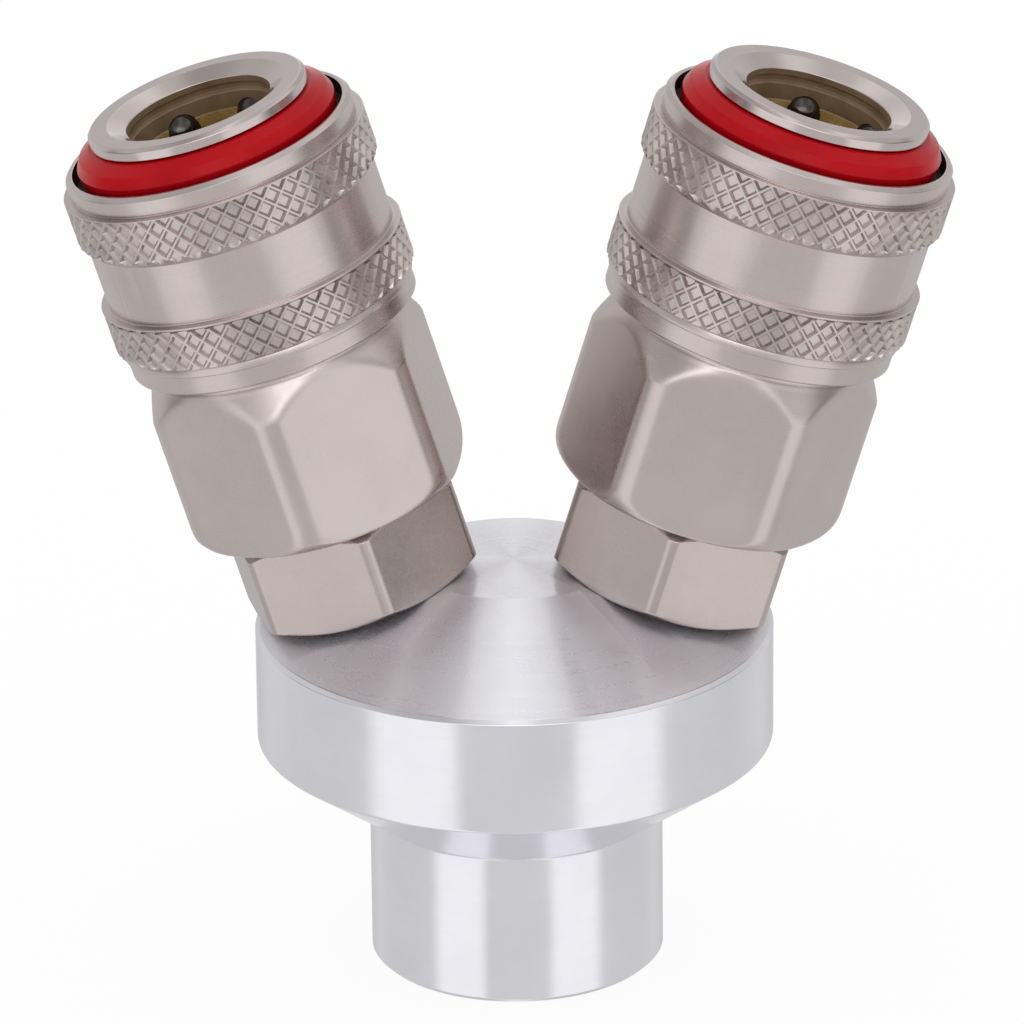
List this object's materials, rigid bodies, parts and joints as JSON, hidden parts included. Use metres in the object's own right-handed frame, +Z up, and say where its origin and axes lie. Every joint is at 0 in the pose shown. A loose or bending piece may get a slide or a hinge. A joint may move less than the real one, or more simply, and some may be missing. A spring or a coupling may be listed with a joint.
{
  "type": "pneumatic quick coupler",
  "caption": "Air manifold with an upright threaded inlet stem and leaning ball-locking quick couplers, each with a knurled pull sleeve and a self-closing valve.",
  "frame": {"origin": "centre of the manifold's round base, on the plane that it stands on", "axes": "+Z up along the manifold's stem, +X towards the right-hand coupler, -Y towards the viewer of the picture; the couplers lean 17 degrees towards +X and -X"},
  "size_m": [0.0756, 0.045, 0.0818],
  "materials": {
    "manifold_aluminium": "bright turned",
    "nickel_plate": "satin nickel plate",
    "red_plastic": "gloss",
    "black_rubber": "moulded rubber",
    "spring_steel": "drawn wire",
    "valve_brass": "turned",
    "ball_steel": "polished"
  },
  "bodies": {
    "root": {"manifold_body": "manifold_aluminium", "left_adapter": "nickel_plate", "left_adapter_washer": "black_rubber", "left_hex_body": "nickel_plate", "left_tube_seal": "black_rubber", "left_nose_tube": "nickel_plate", "left_stop_ring": "red_plastic", "left_plug_seal": "black_rubber", "right_adapter": "nickel_plate", "right_adapter_washer": "black_rubber", "right_hex_body": "nickel_plate", "right_tube_seal": "black_rubber", "right_nose_tube": "nickel_plate", "right_stop_ring": "red_plastic", "right_plug_seal": "black_rubber"},
    "left_sleeve_turn": {"left_sleeve_spring": "spring_steel"},
    "left_sleeve_slide": {"left_sleeve": "nickel_plate"},
    "left_valve": {"left_valve_poppet": "valve_brass", "left_valve_seal": "black_rubber", "left_valve_spring": "spring_steel"},
    "left_ball_1": {"left_lock_ball_1": "ball_steel"},
    "left_ball_2": {"left_lock_ball_2": "ball_steel"},
    "left_ball_3": {"left_lock_ball_3": "ball_steel"},
    "left_ball_4": {"left_lock_ball_4": "ball_steel"},
    "left_ball_5": {"left_lock_ball_5": "ball_steel"},
    "left_ball_6": {"left_lock_ball_6": "ball_steel"},
    "right_sleeve_turn": {"right_sleeve_spring": "spring_steel"},
    "right_sleeve_slide": {"right_sleeve": "nickel_plate"},
    "right_valve": {"right_valve_poppet": "valve_brass", "right_valve_seal": "black_rubber", "right_valve_spring": "spring_steel"},
    "right_ball_1": {"right_lock_ball_1": "ball_steel"},
    "right_ball_2": {"right_lock_ball_2": "ball_steel"},
    "right_ball_3": {"right_lock_ball_3": "ball_steel"},
    "right_ball_4": {"right_lock_ball_4": "ball_steel"},
    "right_ball_5": {"right_lock_ball_5": "ball_steel"},
    "right_ball_6": {"right_lock_ball_6": "ball_steel"}
  },
  "joints": [
    {"name": "left_sleeve_spin", "type": "hinge", "parent": "root", "child": "left_sleeve_turn", "pos_m": [-0.02333, 0, 0.06843], "axis": [-0.2924, 0, 0.9563], "continuous": true},
    {"name": "left_sleeve_pull", "type": "slide", "parent": "left_sleeve_turn", "child": "left_sleeve_slide", "axis": [0.2924, 0, -0.9563], "range_m": [0, 0.0024], "stiffness_N_per_m": 1500, "springref_m": -0.008, "deforming": ["left_sleeve_spring"]},
    {"name": "left_valve_push", "type": "slide", "parent": "root", "child": "left_valve", "axis": [0.2924, 0, -0.9563], "range_m": [0, 0.0034], "stiffness_N_per_m": 500, "springref_m": -0.006, "deforming": ["left_valve_spring"]},
    {"name": "left_ball_1_out", "type": "slide", "parent": "root", "child": "left_ball_1", "axis": [0.558, 0.8121, 0.1706], "range_m": [0, 0.00096]},
    {"name": "left_ball_2_out", "type": "slide", "parent": "root", "child": "left_ball_2", "axis": [-0.3935, 0.9114, -0.1203], "range_m": [0, 0.00096]},
    {"name": "left_ball_3_out", "type": "slide", "parent": "root", "child": "left_ball_3", "axis": [-0.9516, 0.0993, -0.2909], "range_m": [0, 0.00096]},
    {"name": "left_ball_4_out", "type": "slide", "parent": "root", "child": "left_ball_4", "axis": [-0.558, -0.8121, -0.1706], "range_m": [0, 0.00096]},
    {"name": "left_ball_5_out", "type": "slide", "parent": "root", "child": "left_ball_5", "axis": [0.3935, -0.9114, 0.1203], "range_m": [0, 0.00096]},
    {"name": "left_ball_6_out", "type": "slide", "parent": "root", "child": "left_ball_6", "axis": [0.9516, -0.0993, 0.2909], "range_m": [0, 0.00096]},
    {"name": "right_sleeve_spin", "type": "hinge", "parent": "root", "child": "right_sleeve_turn", "pos_m": [0.02333, 0, 0.06843], "axis": [0.2924, 0, 0.9563], "continuous": true},
    {"name": "right_sleeve_pull", "type": "slide", "parent": "right_sleeve_turn", "child": "right_sleeve_slide", "axis": [-0.2924, 0, -0.9563], "range_m": [0, 0.0024], "stiffness_N_per_m": 1500, "springref_m": -0.008, "deforming": ["right_sleeve_spring"]},
    {"name": "right_valve_push", "type": "slide", "parent": "root", "child": "right_valve", "axis": [-0.2924, 0, -0.9563], "range_m": [0, 0.0034], "stiffness_N_per_m": 500, "springref_m": -0.006, "deforming": ["right_valve_spring"]},
    {"name": "right_ball_1_out", "type": "slide", "parent": "root", "child": "right_ball_1", "axis": [0.8223, 0.5105, -0.2514], "range_m": [0, 0.00096]},
    {"name": "right_ball_2_out", "type": "slide", "parent": "root", "child": "right_ball_2", "axis": [-0.0117, 0.9999, 0.0036], "range_m": [0, 0.00096]},
    {"name": "right_ball_3_out", "type": "slide", "parent": "root", "child": "right_ball_3", "axis": [-0.834, 0.4894, 0.255], "range_m": [0, 0.00096]},
    {"name": "right_ball_4_out", "type": "slide", "parent": "root", "child": "right_ball_4", "axis": [-0.8223, -0.5105, 0.2514], "range_m": [0, 0.00096]},
    {"name": "right_ball_5_out", "type": "slide", "parent": "root", "child": "right_ball_5", "axis": [0.0117, -0.9999, -0.0036], "range_m": [0, 0.00096]},
    {"name": "right_ball_6_out", "type": "slide", "parent": "root", "child": "right_ball_6", "axis": [0.834, -0.4894, -0.255], "range_m": [0, 0.00096]}
  ],
  "couplings": [
    {"joint": "left_ball_1_out", "follows": "left_sleeve_pull", "ratio": 0.4},
    {"joint": "left_ball_2_out", "follows": "left_sleeve_pull", "ratio": 0.4},
    {"joint": "left_ball_3_out", "follows": "left_sleeve_pull", "ratio": 0.4},
    {"joint": "left_ball_4_out", "follows": "left_sleeve_pull", "ratio": 0.4},
    {"joint": "left_ball_5_out", "follows": "left_sleeve_pull", "ratio": 0.4},
    {"joint": "left_ball_6_out", "follows": "left_sleeve_pull", "ratio": 0.4},
    {"joint": "right_ball_1_out", "follows": "right_sleeve_pull", "ratio": 0.4},
    {"joint": "right_ball_2_out", "follows": "right_sleeve_pull", "ratio": 0.4},
    {"joint": "right_ball_3_out", "follows": "right_sleeve_pull", "ratio": 0.4},
    {"joint": "right_ball_4_out", "follows": "right_sleeve_pull", "ratio": 0.4},
    {"joint": "right_ball_5_out", "follows": "right_sleeve_pull", "ratio": 0.4},
    {"joint": "right_ball_6_out", "follows": "right_sleeve_pull", "ratio": 0.4}
  ]
}
